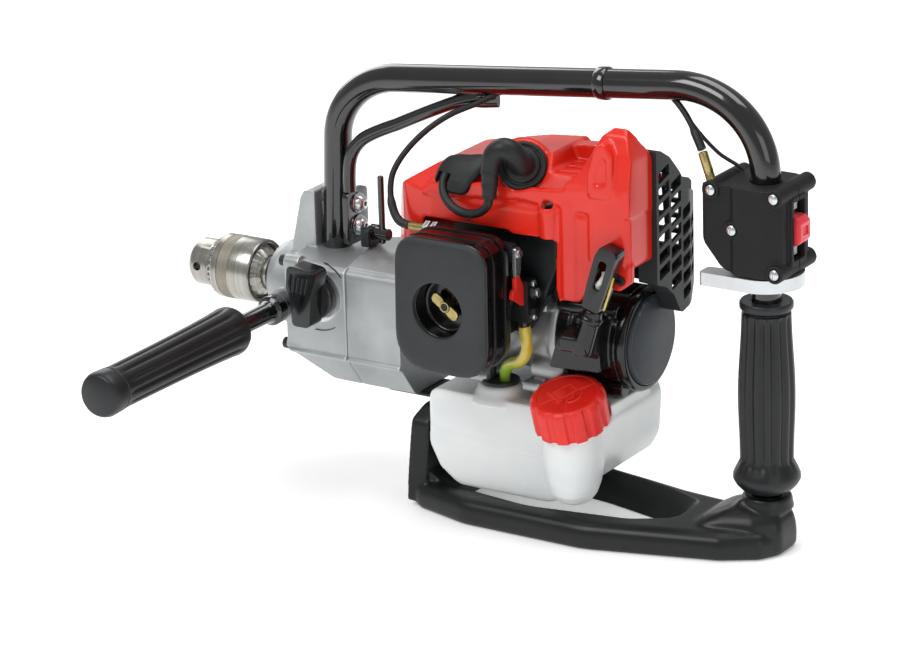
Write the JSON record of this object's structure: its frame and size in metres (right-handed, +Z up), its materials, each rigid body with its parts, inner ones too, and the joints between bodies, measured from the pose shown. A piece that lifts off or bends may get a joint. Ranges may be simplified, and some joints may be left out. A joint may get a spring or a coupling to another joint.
{
  "type": "petrol drill powerhead",
  "caption": "Hand-held petrol powerhead with keyed chuck, tubular carry frame, recoil starter, side handle and rear grip, for turning an ice auger bit.",
  "frame": {"origin": "on the flat underside of the base, on the axis of the rear grip", "axes": "+X from the chuck to the rear grip, +Y to the operator's right, +Z up"},
  "size_m": [0.492, 0.315, 0.3219],
  "materials": {
    "cast_aluminium": "cast, satin",
    "bright_steel": "turned and polished",
    "dark_steel": "dark, oiled",
    "gloss_black_tube": "gloss black",
    "black_plastic": "moulded, fine texture",
    "grey_plastic": "moulded, matt",
    "black_rubber": "satin rubber",
    "red_plastic": "gloss red",
    "milk_plastic": "translucent milky",
    "clear_hose": "yellow-green, clear",
    "filter_foam": "open foam",
    "brass_plate": "yellow passivated",
    "zinc_plate": "bright zinc",
    "silver_lever": "bright satin"
  },
  "bodies": {
    "powerhead": {"gear_cover": "cast_aluminium", "gear_housing": "cast_aluminium", "crankcase": "cast_aluminium", "cylinder": "cast_aluminium", "carburettor": "cast_aluminium", "spark_plug": "bright_steel", "muffler": "dark_steel", "front_tube": "gloss_black_tube", "rear_tube": "gloss_black_tube", "brace_tube": "gloss_black_tube", "clamp_plate": "gloss_black_tube", "side_handle_rod": "gloss_black_tube", "base_frame": "black_plastic", "switch_box_left": "black_plastic", "switch_box_right": "black_plastic", "starter_housing": "black_plastic", "muffler_guard": "black_plastic", "air_cleaner_base": "black_plastic", "starter_cap": "grey_plastic", "rear_grip": "black_rubber", "side_handle_grip": "black_rubber", "tank_grommet": "black_rubber", "return_hose": "black_rubber", "plug_boot": "black_rubber", "ignition_lead": "black_rubber", "lead_guard": "black_rubber", "throttle_cable": "black_rubber", "stop_wire": "black_rubber", "key_holder": "black_rubber", "engine_cover": "red_plastic", "fuel_tank": "milk_plastic", "fuel_hose": "clear_hose", "filter_element": "filter_foam", "cable_ferrule_front": "brass_plate", "cable_ferrule_rear": "brass_plate", "clamp_bolt_lower": "zinc_plate", "clamp_bolt_upper": "zinc_plate"},
    "spindle": {"spindle": "bright_steel", "spindle_gear": "dark_steel", "chuck_body": "bright_steel"},
    "chuck_sleeve": {"chuck_sleeve": "bright_steel"},
    "chuck_jaw_1": {"chuck_jaw_1": "dark_steel"},
    "chuck_jaw_2": {"chuck_jaw_2": "dark_steel"},
    "chuck_jaw_3": {"chuck_jaw_3": "dark_steel"},
    "lay_shaft": {"lay_shaft": "dark_steel"},
    "clutch_drum": {"clutch_drum": "dark_steel"},
    "crank": {"crankshaft": "bright_steel", "flywheel": "cast_aluminium"},
    "piston": {"piston": "cast_aluminium"},
    "connecting_rod": {"connecting_rod": "bright_steel"},
    "starter_pulley": {"starter_pulley": "black_plastic"},
    "starter_handle": {"starter_handle": "black_plastic"},
    "throttle_lever": {"throttle_lever": "silver_lever"},
    "stop_switch": {"stop_switch": "red_plastic"},
    "gear_selector": {"gear_selector": "black_plastic"},
    "choke_lever": {"choke_lever": "red_plastic"},
    "fuel_cap": {"fuel_cap": "red_plastic"},
    "air_cleaner_cover": {"air_cleaner_cover": "grey_plastic"},
    "wing_nut": {"wing_nut": "brass_plate"},
    "chuck_key": {"chuck_key": "gloss_black_tube"}
  },
  "joints": [
    {"name": "spindle_spin", "type": "hinge", "parent": "powerhead", "child": "spindle", "pos_m": [-0.405, 0, 0.132], "axis": [1, 0, 0], "continuous": true},
    {"name": "lay_shaft_spin", "type": "hinge", "parent": "powerhead", "child": "lay_shaft", "pos_m": [-0.335, 0, 0.102], "axis": [1, 0, 0], "continuous": true},
    {"name": "clutch_drum_spin", "type": "hinge", "parent": "powerhead", "child": "clutch_drum", "pos_m": [-0.305, 0, 0.132], "axis": [1, 0, 0], "continuous": true},
    {"name": "chuck_sleeve_turn", "type": "hinge", "parent": "spindle", "child": "chuck_sleeve", "pos_m": [-0.425, 0, 0.132], "axis": [1, 0, 0], "range_deg": [-2700, 2700]},
    {"name": "chuck_jaw_1_travel", "type": "slide", "parent": "spindle", "child": "chuck_jaw_1", "axis": [0.9659, 0, 0.2588], "range_m": [-0.0121, 0.0121]},
    {"name": "chuck_jaw_2_travel", "type": "slide", "parent": "spindle", "child": "chuck_jaw_2", "axis": [0.9659, -0.2241, -0.1294], "range_m": [-0.0121, 0.0121]},
    {"name": "chuck_jaw_3_travel", "type": "slide", "parent": "spindle", "child": "chuck_jaw_3", "axis": [0.9659, 0.2241, -0.1294], "range_m": [-0.0121, 0.0121]},
    {"name": "crank_spin", "type": "hinge", "parent": "powerhead", "child": "crank", "pos_m": [-0.205, 0, 0.132], "axis": [1, 0, 0], "continuous": true},
    {"name": "piston_stroke", "type": "slide", "parent": "powerhead", "child": "piston", "axis": [0, 0, 1], "range_m": [-0.024, 0]},
    {"name": "connecting_rod_swing", "type": "hinge", "parent": "piston", "child": "connecting_rod", "pos_m": [-0.181, 0, 0.204], "axis": [1, 0, 0], "range_deg": [-12, 12]},
    {"name": "starter_handle_pull", "type": "slide", "parent": "powerhead", "child": "starter_handle", "axis": [0.309, 0, 0.9511], "range_m": [0, 0.6], "stiffness_N_per_m": 15, "springref_m": -0.1},
    {"name": "starter_pulley_spin", "type": "hinge", "parent": "powerhead", "child": "starter_pulley", "pos_m": [-0.112, 0, 0.132], "axis": [1, 0, 0], "range_deg": [0, 1570]},
    {"name": "throttle_lever_press", "type": "hinge", "parent": "powerhead", "child": "throttle_lever", "pos_m": [0, 0, 0.19], "axis": [0, 0, -1], "range_deg": [0, 30], "stiffness_Nm_per_rad": 0.6, "springref_deg": -11.46},
    {"name": "stop_switch_slide", "type": "slide", "parent": "powerhead", "child": "stop_switch", "axis": [0, 0, 1], "range_m": [-0.006, 0.006]},
    {"name": "gear_selector_turn", "type": "hinge", "parent": "powerhead", "child": "gear_selector", "pos_m": [-0.331, -0.05, 0.138], "axis": [0, 1, 0], "range_deg": [-35, 35]},
    {"name": "choke_lever_turn", "type": "hinge", "parent": "powerhead", "child": "choke_lever", "pos_m": [-0.159, -0.0555, 0.198], "axis": [-1, 0, 0], "range_deg": [0, 60]},
    {"name": "fuel_cap_turn", "type": "hinge", "parent": "powerhead", "child": "fuel_cap", "pos_m": [-0.122, -0.048, 0.082], "axis": [0, -0.309, 0.9511], "range_deg": [0, 360]},
    {"name": "air_cleaner_cover_off", "type": "slide", "parent": "powerhead", "child": "air_cleaner_cover", "axis": [0, -1, 0], "range_m": [0, 0.045]},
    {"name": "wing_nut_turn", "type": "hinge", "parent": "air_cleaner_cover", "child": "wing_nut", "pos_m": [-0.198, -0.082, 0.163], "axis": [0, 1, 0], "continuous": true},
    {"name": "chuck_key_lift", "type": "slide", "parent": "powerhead", "child": "chuck_key", "axis": [0, 0, 1], "range_m": [0, 0.022]}
  ],
  "couplings": [
    {"joint": "lay_shaft_spin", "follows": "spindle_spin", "ratio": -3},
    {"joint": "clutch_drum_spin", "follows": "spindle_spin", "ratio": 9},
    {"joint": "chuck_jaw_1_travel", "follows": "chuck_sleeve_turn", "m_per_rad": 0.00025465},
    {"joint": "chuck_jaw_2_travel", "follows": "chuck_sleeve_turn", "m_per_rad": 0.00025465},
    {"joint": "chuck_jaw_3_travel", "follows": "chuck_sleeve_turn", "m_per_rad": 0.00025465},
    {"joint": "starter_pulley_spin", "follows": "starter_handle_pull", "rad_per_m": 45.455}
  ]
}
